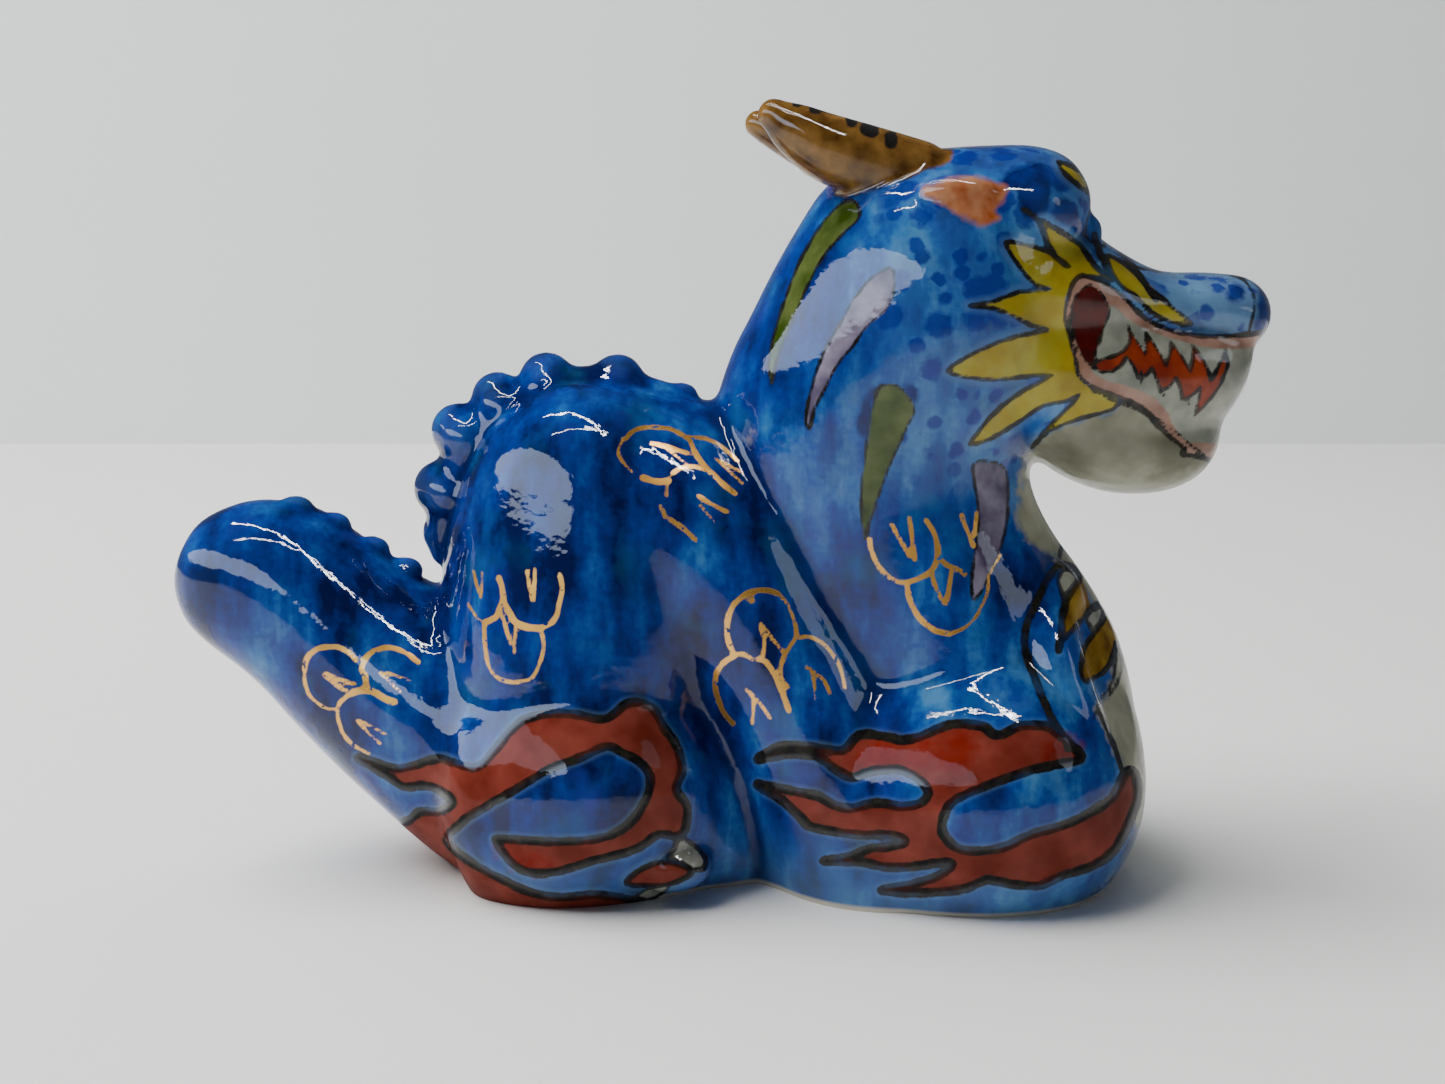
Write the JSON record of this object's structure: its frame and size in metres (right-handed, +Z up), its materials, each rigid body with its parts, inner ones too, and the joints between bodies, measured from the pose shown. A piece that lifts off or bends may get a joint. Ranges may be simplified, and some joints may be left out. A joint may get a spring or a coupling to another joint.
{
  "type": "ceramic animal figurine",
  "caption": "Hollow glazed ceramic dragon-like beast lying on folded legs, with raised neck and tail, open painted jaws, swept-back horns and a knobbed back.",
  "frame": {"origin": "on the flat resting face, under the middle of the figure's bounding box", "axes": "+X towards the snout, +Y to the animal's left, +Z up"},
  "size_m": [0.178, 0.0752, 0.1241],
  "materials": {
    "blue_glaze": "glossy transparent glaze over brushed cobalt, with gold lines",
    "red_and_blue_glaze": "glossy glaze, brick red flames over blue, dark outlines",
    "amber_glaze": "glossy amber-brown glaze with dark bands",
    "peach_glaze": "glossy peach enamel",
    "black_glaze": "glossy black enamel",
    "bone_glaze": "glossy grey-white glaze",
    "bare_clay": "matte unglazed fired clay"
  },
  "bodies": {
    "root": {"rear_body": "blue_glaze", "front_body": "blue_glaze", "head": "blue_glaze", "lower_jaw": "bone_glaze", "tail": "blue_glaze", "floor": "bare_clay", "hind_leg_left": "red_and_blue_glaze", "hind_leg_right": "red_and_blue_glaze", "foreleg_left": "red_and_blue_glaze", "foreleg_right": "red_and_blue_glaze", "hind_paw_left": "bone_glaze", "hind_paw_right": "bone_glaze", "forearm_left": "blue_glaze", "forearm_right": "blue_glaze", "forepaw_left": "amber_glaze", "forepaw_right": "amber_glaze", "horn_left": "amber_glaze", "horn_right": "amber_glaze", "ear_left": "peach_glaze", "ear_right": "peach_glaze", "eye_left": "black_glaze", "eye_right": "black_glaze", "nose": "blue_glaze", "back_ridge": "blue_glaze", "back_knob_1": "blue_glaze", "back_knob_2": "blue_glaze", "back_knob_3": "blue_glaze", "back_knob_4": "blue_glaze", "back_knob_5": "blue_glaze", "back_knob_6": "blue_glaze", "back_knob_7": "blue_glaze", "tail_knob_1": "blue_glaze", "tail_knob_2": "blue_glaze", "tail_knob_3": "blue_glaze", "tail_knob_4": "blue_glaze"}
  },
  "joints": []
}
